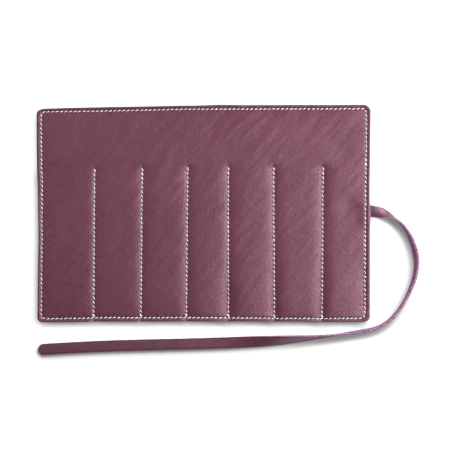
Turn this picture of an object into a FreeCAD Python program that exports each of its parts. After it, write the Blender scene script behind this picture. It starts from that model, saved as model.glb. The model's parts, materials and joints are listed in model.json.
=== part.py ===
import FreeCAD, Part
import math
import os

# A leather pencil roll, lying flat with its outer cover up and its pockets underneath.
# X runs along the row of bays, Y runs from the pocket bottoms to the mouths, Z is up.
# The origin is the centre of the case on the surface that it lies on.

BAY_COUNT = 7

# Driving dimensions in millimetres and degrees: alias, value, meaning.
DIMENSIONS = [
    ("bay_width_1", 54.0, "bay at the free end of the roll"),
    ("bay_width_2", 45.0, "second bay"),
    ("bay_width_3", 43.0, "third bay"),
    ("bay_width_4", 40.0, "fourth bay"),
    ("bay_width_5", 44.0, "fifth bay"),
    ("bay_width_6", 46.0, "sixth bay"),
    ("bay_width_7", 44.0, "bay that carries the tie strap"),
    ("bay_gap", 0.2, "gap between the sections of two bays at their fold line"),
    ("case_height", 204.0, "panel size along Y"),
    ("corner_radius", 7.5, "rounding of the panel's four corners"),
    ("pocket_height", 145.5, "from the panel's bottom edge to the pocket mouths"),
    ("pocket_leather", 1.2, "thickness of the pocket leather"),
    ("pocket_space", 5.4, "clear height inside a pocket"),
    ("lining_thickness", 0.8, "thickness of the lining"),
    ("cover_thickness", 1.4, "thickness of the outer leather"),
    ("fold_margin", 2.0, "flat margin of a pocket beside a fold line"),
    ("edge_margin", 5.3, "flat margin of a pocket along the case's edge"),
    ("seam_inset", 3.8, "edge seam's distance from the panel's edge"),
    ("divider_offset", 1.3, "divider seam's distance from its fold line"),
    ("stitch_pitch", 4.2, "distance from one stitch to the next"),
    ("stitch_length", 3.2, "length of a stitch"),
    ("stitch_width", 0.7, "width of a stitch"),
    ("stitch_thickness", 0.4, "height of a stitch above the leather"),
    ("stitch_slant", 17.0, "angle between a stitch and its seam"),
    ("strap_width", 10.8, "width of the tie strap"),
    ("strap_thickness", 2.0, "thickness of the tie strap"),
    ("anchor_length", 14.0, "length of strap sewn in between the panels"),
    ("section_spacing", 5.0, "largest distance between two sections of the strap"),
]

# The strap's route: from the case's right edge, round one loop and along below the case.
STRAP_ROUTE = [
    (158.0, 2.6, 7.0),
    (173.0, 0.7, 6.4),
    (188.0, -8.0, 5.6),
    (198.5, -24.0, 5.5),
    (204.0, -46.0, 5.5),
    (200.0, -67.0, 5.5),
    (186.0, -94.0, 5.5),
    (169.0, -109.0, 5.5),
    (140.0, -114.0, 5.3),
    (108.0, -118.0, 4.4),
    (72.0, -121.0, 2.4),
    (32.0, -123.0, 1.1),
    (-12.0, -124.5, 1.0),
    (-60.0, -125.5, 1.0),
    (-110.0, -127.0, 1.0),
    (-158.0, -130.0, 1.0),
]

# How far the strap's width is tilted from level: length along the strap, then degrees.
# It leaves the case flat, leans outward on edge round the loop, and lies down after it.
STRAP_TILT = [
    (0.0, 0.0),
    (36.0, 110.0),
    (85.0, 110.0),
    (115.0, 99.0),
    (165.0, 99.0),
    (305.0, 0.0),
]

# An arc takes this share of the shorter of the two runs that it joins.
ARC_SHARE = 0.45

SHEET = "Dimensions"
document = FreeCAD.newDocument("pencil_roll")


def make_sheet():
    sheet = document.addObject("Spreadsheet::Sheet", SHEET)
    for row, (alias, value, meaning) in enumerate(DIMENSIONS, start=1):
        sheet.set(f"A{row}", alias)
        sheet.set(f"B{row}", str(value))
        sheet.set(f"C{row}", meaning)
        sheet.setAlias(f"B{row}", alias)
    document.recompute()
    return sheet


sheet = make_sheet()
nodes = []


def size(alias):
    return float(sheet.get(alias))


def cell(alias):
    return f"{SHEET}.{alias}"


def bound(kind, name, formulas, turned=None):
    """A document object whose properties follow the sheet."""
    item = document.addObject(kind, name)
    item.Label = name
    if turned is not None:
        item.Placement = FreeCAD.Placement(FreeCAD.Vector(), turned)
    for target, formula in formulas.items():
        item.setExpression(target, formula)
    return item


def boolean(kind, name, base, tool):
    item = document.addObject(kind, name)
    item.Label = name
    item.Base = base
    item.Tool = tool
    return item


def keep(item):
    """Marks an object as a sub-part, written to a file of its own."""
    nodes.append(item)
    return item


# ---- where the bays lie -------------------------------------------------------------

CASE_LENGTH = " + ".join(cell(f"bay_width_{n}") for n in range(1, BAY_COUNT + 1))


def fold_formula(number):
    """X of the fold line to the left of a bay; the case's own edges at both ends."""
    widths = [cell(f"bay_width_{n}") for n in range(1, number)]
    return " + ".join([f"-({CASE_LENGTH}) / 2"] + widths)


def fold_x(number):
    widths = [size(f"bay_width_{n}") for n in range(1, BAY_COUNT + 1)]
    return sum(widths[: number - 1]) - sum(widths) / 2


def left_gap(number):
    return "0" if number == 1 else cell("bay_gap") + " / 2"


def right_gap(number):
    return "0" if number == BAY_COUNT else cell("bay_gap") + " / 2"


def bay_start(number):
    return f"{fold_formula(number)} + {left_gap(number)}"


def bay_span(number):
    return f"{cell(f'bay_width_{number}')} - {left_gap(number)} - {right_gap(number)}"


# ---- levels above the surface that the case lies on ----------------------------------

POCKET_TOP = f"({cell('pocket_leather')} + {cell('pocket_space')})"
LINING_TOP = f"({POCKET_TOP} + {cell('lining_thickness')})"
BOTTOM_EDGE = f"-{cell('case_height')} / 2"


def pocket_top():
    return size("pocket_leather") + size("pocket_space")


def lining_top():
    return pocket_top() + size("lining_thickness")


def cover_top():
    return lining_top() + size("cover_thickness")


def pocket_mouth():
    return size("pocket_height") - size("case_height") / 2


# ---- panels ---------------------------------------------------------------------------


def make_outline():
    """A tall solid with the panel's rounded outline, which trims the end bays."""
    radius = cell("corner_radius")
    tall = f"{LINING_TOP} + {cell('cover_thickness')}"
    half_length = f"({CASE_LENGTH}) / 2"
    half_height = f"{cell('case_height')} / 2"
    along = bound("Part::Box", "outline_along", {
        "Length": CASE_LENGTH,
        "Width": f"{cell('case_height')} - 2 * {radius}",
        "Height": tall,
        "Placement.Base.x": f"-{half_length}",
        "Placement.Base.y": f"-{half_height} + {radius}",
    })
    across = bound("Part::Box", "outline_across", {
        "Length": f"{CASE_LENGTH} - 2 * {radius}",
        "Width": cell("case_height"),
        "Height": tall,
        "Placement.Base.x": f"-{half_length} + {radius}",
        "Placement.Base.y": f"-{half_height}",
    })
    pieces = [along, across]
    for side_x in (-1, 1):
        for side_y in (-1, 1):
            corner = bound("Part::Cylinder", f"outline_corner_{len(pieces) - 1}", {
                "Radius": radius,
                "Height": tall,
                "Placement.Base.x": f"{side_x} * ({half_length} - {radius})",
                "Placement.Base.y": f"{side_y} * ({half_height} - {radius})",
            })
            pieces.append(corner)
    outline = document.addObject("Part::MultiFuse", "case_outline")
    outline.Shapes = pieces
    outline.Refine = True
    return outline


def panel_slab(name, number, bottom, thickness):
    """One bay's flat section of the cover or the lining."""
    return bound("Part::Box", name, {
        "Length": bay_span(number),
        "Width": cell("case_height"),
        "Height": thickness,
        "Placement.Base.x": bay_start(number),
        "Placement.Base.y": BOTTOM_EDGE,
        "Placement.Base.z": bottom,
    })


def trimmed(name, blank, number, outline):
    """The blank itself in a middle bay, or its part inside the rounded outline."""
    if number in (1, BAY_COUNT):
        return boolean("Part::Common", name, blank, outline)
    blank.Label = name
    return blank


def make_cover(number, outline):
    name = f"cover_{number}"
    blank = panel_slab(f"{name}_blank", number, LINING_TOP, cell("cover_thickness"))
    keep(trimmed(name, blank, number, outline))


def make_lining(number, outline):
    name = f"lining_{number}"
    blank = panel_slab(f"{name}_blank", number, POCKET_TOP, cell("lining_thickness"))
    if number < BAY_COUNT:
        keep(trimmed(name, blank, number, outline))
        return
    rounded = boolean("Part::Common", f"{name}_rounded", blank, outline)
    notch = anchor_block(f"{name}_notch")
    keep(boolean("Part::Cut", name, rounded, notch))


def anchor_block(name):
    """The strap's skived end, in line with the start of the strap's route."""
    return bound("Part::Box", name, {
        "Length": cell("anchor_length"),
        "Width": cell("strap_width"),
        "Height": cell("lining_thickness"),
        "Placement.Base.x": f"({CASE_LENGTH}) / 2 - {cell('anchor_length')}",
        "Placement.Base.y": f"{STRAP_ROUTE[0][1]} - {cell('strap_width')} / 2",
        "Placement.Base.z": POCKET_TOP,
    })


# ---- pockets --------------------------------------------------------------------------

# A pocket is a shallow tray with walls at 45 degrees, a flat margin round three sides
# and an open mouth. Its wall is this much wider, measured level, than it is thick.
WALL_FACTOR = math.sqrt(2)


def tray_wedge(name, number, inset, depth, past_mouth):
    """A block under the pocket's top face that narrows at 45 degrees as it goes down."""
    left = f"({cell('edge_margin' if number == 1 else 'fold_margin')} + {inset})"
    right = f"({cell('edge_margin' if number == BAY_COUNT else 'fold_margin')} + {inset})"
    bottom = f"({cell('edge_margin')} + {inset})"
    width = cell(f"bay_width_{number}")
    mouth = f"{cell('pocket_height')} + {past_mouth}"
    onto_its_back = FreeCAD.Rotation(FreeCAD.Vector(1, 0, 0), -90)
    return bound("Part::Wedge", name, {
        "Xmin": left,
        "Xmax": f"{width} - {right}",
        "X2min": f"{left} + {depth}",
        "X2max": f"{width} - {right} - {depth}",
        "Ymin": "0",
        "Ymax": depth,
        "Zmin": bottom,
        "Zmax": mouth,
        "Z2min": f"{bottom} + {depth}",
        "Z2max": mouth,
        "Placement.Base.x": fold_formula(number),
        "Placement.Base.y": BOTTOM_EDGE,
        "Placement.Base.z": POCKET_TOP,
    }, onto_its_back)


def make_pocket(number, outline):
    name = f"pocket_{number}"
    leather = cell("pocket_leather")
    margin = bound("Part::Box", f"{name}_margin", {
        "Length": bay_span(number),
        "Width": cell("pocket_height"),
        "Height": leather,
        "Placement.Base.x": bay_start(number),
        "Placement.Base.y": BOTTOM_EDGE,
        "Placement.Base.z": cell("pocket_space"),
    })
    outside = tray_wedge(f"{name}_outside", number, "0", POCKET_TOP, "0")
    wall = f"{leather} * {WALL_FACTOR}"
    inside = tray_wedge(f"{name}_inside", number, wall, cell("pocket_space"), "1")
    block = boolean("Part::Fuse", f"{name}_block", margin, outside)
    tray = boolean("Part::Cut", f"{name}_tray", block, inside)
    keep(trimmed(name, tray, number, outline))


# ---- stitching ------------------------------------------------------------------------


def stitch(x, y, seam_angle, level):
    """One stitch as a small flat block, slanted to its seam, with its base at a level."""
    length = size("stitch_length")
    width = size("stitch_width")
    corner = FreeCAD.Vector(-length / 2, -width / 2, 0)
    block = Part.makeBox(length, width, size("stitch_thickness"), corner)
    block.rotate(FreeCAD.Vector(), FreeCAD.Vector(0, 0, 1), seam_angle + size("stitch_slant"))
    block.translate(FreeCAD.Vector(x, y, level))
    return block


def run_of_points(first, last):
    """Evenly spaced middles of stitches that fill a straight run from first to last."""
    first = FreeCAD.Vector(*first)
    last = FreeCAD.Vector(*last)
    count = max(1, round((last - first).Length / size("stitch_pitch")))
    return [first + (last - first) * ((n + 0.5) / count) for n in range(count)]


def both_faces(x, y, seam_angle):
    """A stitch on the cover and its partner underneath, which skips the pocket's mouth."""
    pair = [stitch(x, y, seam_angle, cover_top())]
    reach = size("stitch_length") / 2
    under = size("stitch_thickness")
    if y + reach < pocket_mouth():
        pair.append(stitch(x, y, seam_angle, size("pocket_space") - under))
    elif y - reach > pocket_mouth():
        pair.append(stitch(x, y, seam_angle, pocket_top() - under))
    return pair


def keep_stitches(name, blocks):
    group = document.addObject("Part::Feature", name)
    group.Label = name
    group.Shape = Part.makeCompound(blocks)
    keep(group)


def make_edge_stitching(number):
    """The edge seam inside one bay: along the top and bottom, and round an end bay's side."""
    radius = size("corner_radius")
    half_height = size("case_height") / 2
    inset = size("seam_inset")
    first = fold_x(number) + (radius if number == 1 else 0)
    last = fold_x(number + 1) - (radius if number == BAY_COUNT else 0)
    blocks = []
    for side_y in (-1, 1):
        level_y = side_y * (half_height - inset)
        for point in run_of_points((first, level_y, 0), (last, level_y, 0)):
            blocks += both_faces(point.x, point.y, 0)
    if number in (1, BAY_COUNT):
        side_x = -1 if number == 1 else 1
        edge_x = side_x * abs(fold_x(1))
        seam_x = edge_x - side_x * inset
        low = (seam_x, radius - half_height, 0)
        high = (seam_x, half_height - radius, 0)
        for point in run_of_points(low, high):
            blocks += both_faces(point.x, point.y, 90)
        diagonal = (radius - inset) * math.sqrt(0.5)
        for side_y in (-1, 1):
            corner_x = edge_x + side_x * (diagonal - radius)
            corner_y = side_y * (half_height - radius + diagonal)
            blocks += both_faces(corner_x, corner_y, -45 * side_x * side_y - size("stitch_slant"))
    keep_stitches(f"edge_stitching_{number}", blocks)


def make_divider_stitching(number):
    """The seam between a pocket and the next, just beside their fold line."""
    seam_x = fold_x(number + 1) + size("divider_offset")
    lowest = size("seam_inset") + size("stitch_pitch") / 2 - size("case_height") / 2
    blocks = []
    for point in run_of_points((seam_x, lowest, 0), (seam_x, pocket_mouth(), 0)):
        blocks += both_faces(point.x, point.y, 90)
    keep_stitches(f"divider_stitching_{number}", blocks)


# ---- tie strap ------------------------------------------------------------------------


def strap_path():
    """Straight runs along the route, joined by tangent arcs as large as the runs allow."""
    points = [FreeCAD.Vector(*point) for point in STRAP_ROUTE]
    edges = []
    start = points[0]
    radii = []
    for before, corner, after in zip(points, points[1:], points[2:]):
        back = before - corner
        ahead = after - corner
        trim = ARC_SHARE * min(back.Length, ahead.Length)
        back.normalize()
        ahead.normalize()
        half_turn = (math.pi - back.getAngle(ahead)) / 2
        radius = trim / math.tan(half_turn)
        radii.append(round(radius, 1))
        inward = back + ahead
        inward.normalize()
        middle = corner + inward * (radius / math.cos(half_turn) - radius)
        arc_start = corner + back * trim
        arc_end = corner + ahead * trim
        edges.append(Part.LineSegment(start, arc_start).toShape())
        edges.append(Part.Arc(arc_start, middle, arc_end).toShape())
        start = arc_end
    edges.append(Part.LineSegment(start, points[-1]).toShape())
    print("strap radii, mm:", radii)
    return edges


def strap_tilt(along):
    """The strap's tilt in radians, eased from each entry of the list to the next."""
    degrees = STRAP_TILT[-1][1]
    for (begin, tilt), (end, next_tilt) in zip(STRAP_TILT, STRAP_TILT[1:]):
        if begin <= along < end:
            share = (along - begin) / (end - begin)
            degrees = tilt + (next_tilt - tilt) * share * share * (3 - 2 * share)
    return math.radians(degrees)


def strap_section(point, tangent, along):
    """The strap's rectangle across its route; a tilted one stands on the surface."""
    tilt = strap_tilt(along)
    up = FreeCAD.Vector(0, 0, 1)
    right = tangent.cross(up)
    right.normalize()
    half_width = (right * math.cos(tilt) + up * math.sin(tilt)) * (size("strap_width") / 2)
    half_thick = (up * math.cos(tilt) - right * math.sin(tilt)) * (size("strap_thickness") / 2)
    lift = max(0.0, half_width.z + abs(half_thick.z) - point.z)
    middle = point + up * lift
    corners = [
        middle + half_width + half_thick,
        middle - half_width + half_thick,
        middle - half_width - half_thick,
        middle + half_width - half_thick,
    ]
    return Part.makePolygon(corners + corners[:1])


def make_strap():
    """The strap as a ruled loft; its first section is flush with the case's edge."""
    edges = strap_path()
    total = sum(edge.Length for edge in edges)
    sections = []
    along = 0.0
    for number, edge in enumerate(edges):
        count = max(1, math.ceil(edge.Length / size("section_spacing")))
        last = number == len(edges) - 1
        for step in range(count + 1 if last else count):
            share = step / count
            place = edge.FirstParameter + share * (edge.LastParameter - edge.FirstParameter)
            point = edge.valueAt(place)
            tangent = edge.tangentAt(place) if sections else FreeCAD.Vector(1, 0, 0)
            sections.append(strap_section(point, tangent, along + share * edge.Length))
        along += edge.Length
    strap = document.addObject("Part::Feature", "tie_strap")
    strap.Label = "tie_strap"
    strap.Shape = Part.makeLoft(sections, True, True)
    keep(strap)
    plain = size("strap_width") * size("strap_thickness") * total
    print("strap length, mm:", round(total, 1))
    print("strap volume over section times length:", round(strap.Shape.Volume / plain, 4))


# ---- build, check and write -----------------------------------------------------------


def check_document():
    for item in document.Objects:
        if "Invalid" in item.State or "Error" in item.State:
            raise RuntimeError(f"{item.Name} failed: {item.State}")
    for node in nodes:
        if node.Shape.isNull() or not node.Shape.isValid():
            raise RuntimeError(f"{node.Label} has no valid shape")


def write_parts():
    os.makedirs("parts", exist_ok=True)
    for node in nodes:
        node.Shape.exportStep(f"parts/{node.Label}.step")
        box = node.Shape.BoundBox
        print(
            f"{node.Label}: {len(node.Shape.Solids)} solids, z {box.ZMin:.2f} to {box.ZMax:.2f}, "
            f"volume {node.Shape.Volume:.0f}"
        )


case_outline = make_outline()
for bay in range(1, BAY_COUNT + 1):
    make_cover(bay, case_outline)
    make_lining(bay, case_outline)
    make_pocket(bay, case_outline)
    make_edge_stitching(bay)
for divider in range(1, BAY_COUNT):
    make_divider_stitching(divider)
keep(anchor_block("strap_anchor"))
make_strap()
document.recompute()
check_document()
write_parts()
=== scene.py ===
import json
import math

import bpy
import numpy as np
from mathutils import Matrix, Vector


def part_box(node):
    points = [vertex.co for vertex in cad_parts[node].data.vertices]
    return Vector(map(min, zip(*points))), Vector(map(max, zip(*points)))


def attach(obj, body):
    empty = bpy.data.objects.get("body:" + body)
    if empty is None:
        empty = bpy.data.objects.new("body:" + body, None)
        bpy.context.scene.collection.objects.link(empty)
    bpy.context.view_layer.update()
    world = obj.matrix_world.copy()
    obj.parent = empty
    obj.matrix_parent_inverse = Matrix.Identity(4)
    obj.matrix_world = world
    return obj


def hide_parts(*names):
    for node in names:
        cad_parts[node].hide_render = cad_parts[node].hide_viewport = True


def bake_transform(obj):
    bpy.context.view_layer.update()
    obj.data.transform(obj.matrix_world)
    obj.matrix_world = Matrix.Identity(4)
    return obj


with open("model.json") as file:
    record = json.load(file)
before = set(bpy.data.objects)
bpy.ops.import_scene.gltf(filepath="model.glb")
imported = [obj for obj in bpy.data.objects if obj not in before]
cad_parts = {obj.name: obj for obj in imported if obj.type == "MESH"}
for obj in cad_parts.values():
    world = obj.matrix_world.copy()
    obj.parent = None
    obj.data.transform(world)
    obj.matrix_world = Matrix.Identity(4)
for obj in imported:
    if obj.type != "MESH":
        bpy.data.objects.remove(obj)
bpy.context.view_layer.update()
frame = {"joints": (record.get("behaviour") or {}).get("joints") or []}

# A leather pencil roll lying flat, outer cover up. Lengths are millimetres in the shape
# functions and metres in Blender; MM turns the first into the second.
MM = 0.001
SEED = 20
NOISE_TABLE = 96

# ---- the frame's own sizes, in millimetres ----

FOLDS = sorted(joint["pos_m"][0] / MM for joint in frame["joints"])
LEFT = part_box("cover_1")[0].x / MM
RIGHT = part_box("cover_7")[1].x / MM
BOTTOM, TOP = (corner.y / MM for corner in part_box("cover_1"))
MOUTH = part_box("pocket_1")[1].y / MM
COVER_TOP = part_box("cover_1")[1].z / MM
BAY_EDGES = [LEFT, *FOLDS, RIGHT]
BAY_COUNT = len(BAY_EDGES) - 1
STRAP_WIDTH = (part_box("strap_anchor")[1].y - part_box("strap_anchor")[0].y) / MM
HALF_STRAP = STRAP_WIDTH / 2
STRAP_ROOT = sum(corner.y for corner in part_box("strap_anchor")) / 2 / MM

# ---- small helpers ----


def smoothed(share):
    """A share from 0 to 1, eased at both ends."""
    return share * share * (3 - 2 * share)


def ease(value, begin, end):
    """0 before begin, 1 after end, and a smooth rise between them."""
    return smoothed(np.clip((value - begin) / (end - begin), 0, 1))


def bump(value, width):
    """A smooth bump of height 1 at 0."""
    return np.exp(-((value / width) ** 2))


def smooth_noise(x, y, scale, seed):
    """Seeded noise from -1 to 1 that changes over about one scale, in millimetres."""
    size = NOISE_TABLE
    table = np.random.default_rng(seed).uniform(-1, 1, (size, size))
    x = np.asarray(x, float) / scale + size / 2
    y = np.asarray(y, float) / scale + size / 2
    column = np.floor(x).astype(int)
    row = np.floor(y).astype(int)
    fx = smoothed(x - column)
    fy = smoothed(y - row)

    def corner(i, j):
        return table[(column + i) % size, (row + j) % size]

    low = corner(0, 0) * (1 - fx) + corner(1, 0) * fx
    high = corner(0, 1) * (1 - fx) + corner(1, 1) * fx
    return low * (1 - fy) + high * fy


def add_object(name, data):
    made = bpy.data.objects.new(name, data)
    bpy.context.scene.collection.objects.link(made)
    return made


def set_values(mesh, name, kind, domain, values):
    """Writes one value for each point or edge of a mesh into a new attribute."""
    field = "vector" if kind == "FLOAT_VECTOR" else "value"
    mesh.attributes.new(name, kind, domain).data.foreach_set(field, values)


def new_mesh(name, points, faces, materials, face_materials=None):
    """A smooth-shaded mesh from points in millimetres. Its points keep their rest place
    in an attribute, so that a material stays put when the piece bends."""
    mesh = bpy.data.meshes.new(name)
    mesh.from_pydata((points * MM).tolist(), [], faces)
    mesh.polygons.foreach_set("use_smooth", np.ones(len(faces), bool))
    for material in materials:
        mesh.materials.append(material)
    if face_materials is not None:
        mesh.polygons.foreach_set("material_index", face_materials.astype(np.int32))
    set_values(mesh, "rest", "FLOAT_VECTOR", "POINT", points.astype(np.float32).ravel())
    mesh.update()
    return add_object(name, mesh)


def grid_points(x, y, z):
    return np.stack([x, y, z], axis=-1).reshape(-1, 3)


def sheet_faces(shape):
    """Faces of a closed sheet whose points are an upper grid and then a lower one: upper side,
    lower side and cut edge. Also the upper grid's points on the border."""
    index = np.arange(shape[0] * shape[1]).reshape(shape)
    corners = [index[:-1, :-1], index[1:, :-1], index[1:, 1:], index[:-1, 1:]]
    upper = np.stack(corners, axis=-1).reshape(-1, 4)
    lower = upper[:, ::-1] + index.size
    border = np.concatenate([index[:-1, 0], index[-1, :-1], index[:0:-1, -1], index[0, :0:-1]])
    following = np.roll(border, -1)
    edge = np.stack([following, border, border + index.size, following + index.size], axis=-1)
    return upper, lower, edge, border


# ---- camera ----

# The width and centre of what the camera sees, and its distance, in metres.
VIEW_WIDTH = 0.4289
VIEW_CENTRE = (0.02016, -0.01086)
VIEW_DISTANCE = 6.0
SENSOR_WIDTH = 36


def make_camera():
    """Straight above the case, with a long lens."""
    data = bpy.data.cameras.new("camera")
    data.sensor_width = SENSOR_WIDTH
    data.lens = SENSOR_WIDTH * VIEW_DISTANCE / VIEW_WIDTH
    camera = add_object("camera", data)
    camera.location = (*VIEW_CENTRE, VIEW_DISTANCE + COVER_TOP * MM)
    bpy.context.scene.camera = camera


make_camera()

# ---- materials ----


class Nodes:
    """A short way to write a material's nodes."""

    def __init__(self, name):
        self.material = bpy.data.materials.new(name)
        self.material.use_nodes = True
        self.tree = self.material.node_tree
        self.surface = self.tree.nodes["Principled BSDF"]

    def add(self, kind, inputs=None, **settings):
        node = self.tree.nodes.new(kind)
        for key, value in settings.items():
            setattr(node, key, value)
        for key, value in (inputs or {}).items():
            self.put(node, key, value)
        return node

    def put(self, node, key, value):
        if isinstance(value, bpy.types.NodeSocket):
            self.tree.links.new(value, node.inputs[key])
        else:
            node.inputs[key].default_value = value

    def attribute(self, name):
        return self.add("ShaderNodeAttribute", attribute_name=name)

    def stretched(self, vector, factors):
        node = self.add("ShaderNodeVectorMath", {0: vector}, operation="MULTIPLY")
        node.inputs[1].default_value = factors
        return node.outputs[0]

    def combined(self, operation, first, second):
        """Two values put together by a Math node's operation."""
        return self.add("ShaderNodeMath", {0: first, 1: second}, operation=operation).outputs[0]

    def place(self, scale):
        """The rest place of a point, in units of scale millimetres."""
        return self.stretched(self.attribute("rest").outputs["Vector"], (1 / scale,) * 3)

    def noise_at(self, vector, detail, roughness):
        inputs = {"Vector": vector, "Scale": 1.0, "Detail": detail, "Roughness": roughness}
        return self.add("ShaderNodeTexNoise", inputs).outputs["Fac"]

    def noise(self, scale, detail, roughness):
        return self.noise_at(self.place(scale), detail, roughness)

    def cells(self, scale):
        node = self.add(
            "ShaderNodeTexVoronoi",
            {"Vector": self.place(scale), "Scale": 1.0},
            feature="DISTANCE_TO_EDGE",
        )
        return node.outputs["Distance"]

    def drawn_out(self, width, length, degrees, roughness):
        """Noise that is drawn out at so many degrees from the X axis, in millimetres."""
        turned = self.add(
            "ShaderNodeVectorRotate", {"Vector": self.place(1.0)}, rotation_type="Z_AXIS"
        )
        turned.inputs["Angle"].default_value = math.radians(-degrees)
        factors = (1 / length, 1 / width, 1 / width)
        return self.noise_at(self.stretched(turned.outputs[0], factors), 1.0, roughness)

    def ranged(self, value, low, high, from_low=0.0, from_high=1.0):
        """The value's range, from_low to from_high, mapped to low to high and clamped."""
        node = self.add("ShaderNodeMapRange", {
            "Value": value,
            "From Min": from_low,
            "From Max": from_high,
            "To Min": low,
            "To Max": high,
        })
        return node.outputs["Result"]

    def mixed(self, factor, first, second):
        node = self.add("ShaderNodeMix", data_type="RGBA")
        self.put(node, "Factor", factor)
        for socket, value in zip([s for s in node.inputs if s.type == "RGBA"], (first, second)):
            if isinstance(value, bpy.types.NodeSocket):
                self.tree.links.new(value, socket)
            else:
                socket.default_value = (*value, 1.0)
        return next(s for s in node.outputs if s.type == "RGBA")

    def relief(self, height, depth, below=None):
        """A bump of so many millimetres, on top of another if one is given."""
        inputs = {"Height": height, "Strength": 1.0, "Distance": depth * MM}
        if below is not None:
            inputs["Normal"] = below
        return self.add("ShaderNodeBump", inputs).outputs["Normal"]

    def finish(self, colour, roughness, normal, **others):
        self.put(self.surface, "Base Color", colour)
        self.put(self.surface, "Roughness", roughness)
        self.put(self.surface, "Normal", normal)
        for key, value in others.items():
            self.put(self.surface, key.replace("_", " "), value)
        return self.material


# Colours, as linear red, green and blue.
PLUM = (0.123, 0.0230, 0.0415)
PLUM_DEEP = (0.099, 0.0150, 0.0255)
LILAC = (0.43, 0.235, 0.385)
LILAC_DARK = (0.15, 0.050, 0.125)
FLESH = (0.37, 0.165, 0.290)
FLESH_DARK = (0.12, 0.036, 0.075)
POCKET_FLESH = (0.20, 0.085, 0.125)
POCKET_FLESH_DARK = (0.12, 0.045, 0.070)
SUEDE = (0.24, 0.13, 0.17)
SUEDE_DARK = (0.17, 0.085, 0.12)
THREAD_DARK = (0.78, 0.72, 0.75)
THREAD_LIGHT = (0.95, 0.91, 0.93)
SHEEN = (1.0, 0.67, 0.87, 1.0)
# Sizes in the leather, in mm: width and length where there are two. Its fine creases and
# soft folds run at STRETCH degrees from the X axis.
CLOUD_SIZE = 46
MOTTLE_SIZE = 1.5
PORE_SIZE = 0.85
GRAIN_SIZE = 1.4
WAVE_SIZE = 12
CREASE_PATCH = 60
CREASE_SIZE = (0.45, 13)
FOLD_SIZE = (9, 40)
STRETCH = 48
# The depth of the leather's relief, in mm.
PORE_DEPTH = 0.020
GRAIN_DEPTH = 0.22
WAVE_DEPTH = 0.22
FOLD_DEPTH = 0.55
RAW_DEPTH = 0.30
CUT_DEPTH = 0.35
PLY_DEPTH = 0.10
RAW_ROUGHNESS = 0.92


def shade(colour, factor):
    return tuple(channel * factor for channel in colour)


def grain_leather(name, light, deep, gloss=1.0):
    """Smooth dyed leather: cloudy dye, fine pores, a soft gloss, with painted shade in the stitch
    slits, the margins and at the strap's root, and darker at the cut edge's rim.
    """
    nodes = Nodes(name)
    clouds = nodes.noise(CLOUD_SIZE, 4, 0.55)
    mottle = nodes.noise(MOTTLE_SIZE, 4, 0.6)
    pores = nodes.cells(PORE_SIZE)
    painted_shade_and_rim = nodes.attribute("painted_shade_and_rim").outputs["Fac"]
    colour = nodes.mixed(nodes.ranged(clouds, 0, 1, 0.3, 0.7), deep, light)
    colour = nodes.mixed(nodes.ranged(mottle, 0, 0.85, 0.38, 0.66), colour, shade(deep, 0.62))
    # Painted shade: darker in the stitch slits, the margins outside the edge seam and on the strap
    # beside the case; also darker along the cut edge's rim.
    colour = nodes.mixed(painted_shade_and_rim, colour, shade(deep, 0.10))
    roughness = nodes.ranged(mottle, 0.37, 0.47)
    creases = nodes.ranged(nodes.drawn_out(*CREASE_SIZE, STRETCH, 0.5), 0, 1, 0.66, 0.74)
    patches = nodes.ranged(nodes.noise(CREASE_PATCH, 1, 0.5), 0, 1, 0.42, 0.60)
    faint = nodes.combined("MULTIPLY", creases, patches)
    colour = nodes.mixed(nodes.ranged(faint, 0, 0.18), colour, LILAC)
    normal = nodes.relief(nodes.ranged(pores, 0, 1, 0.0, 0.22), PORE_DEPTH)
    normal = nodes.relief(nodes.noise(GRAIN_SIZE, 4, 0.6), GRAIN_DEPTH, normal)
    normal = nodes.relief(nodes.noise(WAVE_SIZE, 2, 0.5), WAVE_DEPTH, normal)
    normal = nodes.relief(nodes.drawn_out(*FOLD_SIZE, STRETCH, 0.4), FOLD_DEPTH, normal)
    return nodes.finish(colour, roughness, normal, Specular_IOR_Level=gloss, Specular_Tint=SHEEN)


def raw_leather(name, light, deep, fibre):
    """A cut edge or flesh side: matt, uneven in colour, with fibres of a size in mm."""
    nodes = Nodes(name)
    fuzz = nodes.noise(fibre, 6, 0.7)
    patch = nodes.noise(fibre * 4, 3, 0.6)
    colour = nodes.mixed(nodes.ranged(fuzz, 0, 1, 0.38, 0.62), deep, light)
    colour = nodes.mixed(nodes.ranged(patch, 0, 0.6, 0.45, 0.75), colour, deep)
    normal = nodes.relief(fuzz, RAW_DEPTH)
    return nodes.finish(colour, RAW_ROUGHNESS, normal, Sheen_Weight=0.10, Sheen_Roughness=0.6)


def cut_strap(name):
    """The strap's lilac cut edge, which frays into its dark flesh side."""
    nodes = Nodes(name)
    share = nodes.attribute("cut_edge").outputs["Fac"]
    fuzz = nodes.noise(0.5, 6, 0.7)
    tufts = nodes.ranged(nodes.noise(1.3, 5, 0.75), 0.2, 0.8, 0.35, 0.65)
    ragged = nodes.combined("ADD", tufts, share)
    edge_mottle = nodes.ranged(nodes.noise(1.7, 5, 0.75), 0, 1, 0.38, 0.56)
    flesh_mottle = nodes.ranged(nodes.noise(1.9, 5, 0.75), 0, 1, 0.40, 0.62)
    edge = nodes.mixed(edge_mottle, LILAC_DARK, LILAC)
    flesh = nodes.mixed(flesh_mottle, FLESH_DARK, FLESH)
    colour = nodes.mixed(nodes.ranged(ragged, 0, 1, 0.70, 1.02), flesh, edge)
    normal = nodes.relief(fuzz, CUT_DEPTH)
    return nodes.finish(colour, RAW_ROUGHNESS, normal, Specular_IOR_Level=0.2)


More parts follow.
